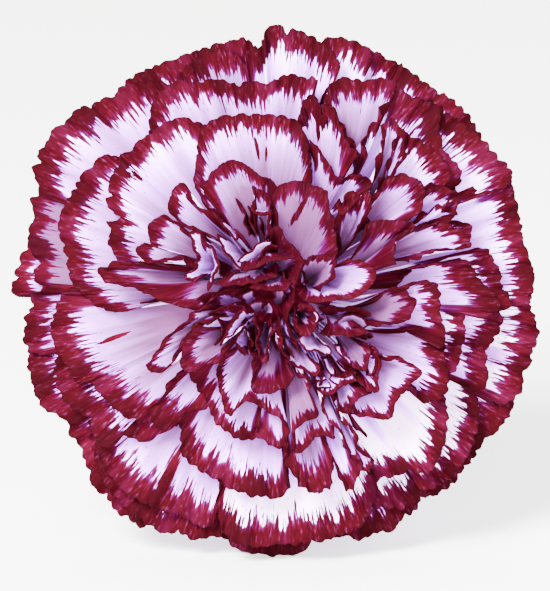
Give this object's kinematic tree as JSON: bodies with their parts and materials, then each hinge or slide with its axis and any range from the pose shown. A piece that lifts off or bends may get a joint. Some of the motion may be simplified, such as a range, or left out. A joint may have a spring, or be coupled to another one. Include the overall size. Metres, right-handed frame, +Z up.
{
  "type": "cut carnation",
  "caption": "Double carnation bloom, white petals with crimson margins, in a green calyx on a short leafy cut stem, lying down.",
  "frame": {"origin": "on the surface that the flower lies on, under the centre of its bounding box", "axes": "+Y back along the stem from the bloom to the cut end, +Z up, the face of the bloom looks towards -Y and tips up a little"},
  "size_m": [0.0842, 0.19, 0.0831],
  "materials": {
    "petal": "matt, white with a crimson margin",
    "calyx": "waxy, satin",
    "bract": "waxy, satin",
    "stem": "smooth waxy green stalk, satin",
    "leaf": "grey-green with a wax bloom, matt"
  },
  "bodies": {
    "root": {"bloom": "petal", "calyx": "calyx", "bract_1": "bract", "bract_2": "bract", "bract_3": "bract", "bract_4": "bract", "stem": "stem", "leaf_upper_left": "leaf", "leaf_upper_right": "leaf", "leaf_lower_left": "leaf", "leaf_lower_right": "leaf"}
  },
  "joints": []
}
